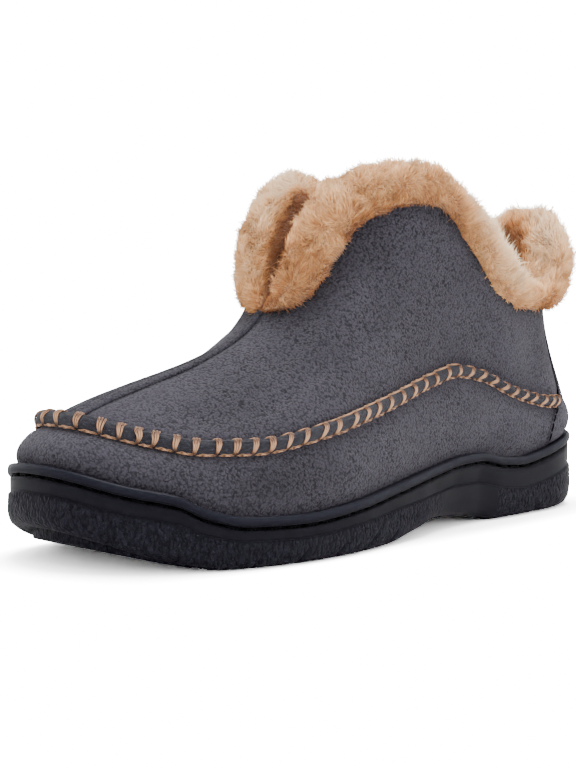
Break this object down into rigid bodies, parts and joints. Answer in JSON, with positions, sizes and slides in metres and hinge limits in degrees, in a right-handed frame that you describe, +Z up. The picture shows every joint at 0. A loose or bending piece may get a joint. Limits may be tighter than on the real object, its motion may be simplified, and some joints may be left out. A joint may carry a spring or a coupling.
{
  "type": "bootie slipper",
  "caption": "Left moccasin bootie slipper with a rubber cup sole, a suede upper with a V-notched, peaked collar, a rolled seam round the toe and a thick fleece cuff.",
  "frame": {"origin": "on the floor, at the flat under the heel, on the foot's middle line", "axes": "+Z up, +Y towards the heel, -Y towards the toe, +X towards the outer side of the left foot"},
  "size_m": [0.1096, 0.295, 0.154],
  "materials": {
    "outsole": "moulded bluish black rubber, matt, with a crinkled side",
    "upper": "bluish grey napped suede cloth",
    "heel_counter": "bluish grey napped suede cloth",
    "moccasin_roll": "dark grey cloth, whip-stitched with tan thread",
    "vamp_seam": "bluish grey napped suede cloth",
    "collar_fleece": "golden tan curly fleece",
    "insole": "golden tan short fleece over foam"
  },
  "bodies": {
    "root": {"outsole": "outsole", "upper": "upper", "heel_counter": "heel_counter", "moccasin_roll": "moccasin_roll", "vamp_seam": "vamp_seam", "collar_fleece": "collar_fleece", "insole": "insole"}
  },
  "joints": []
}
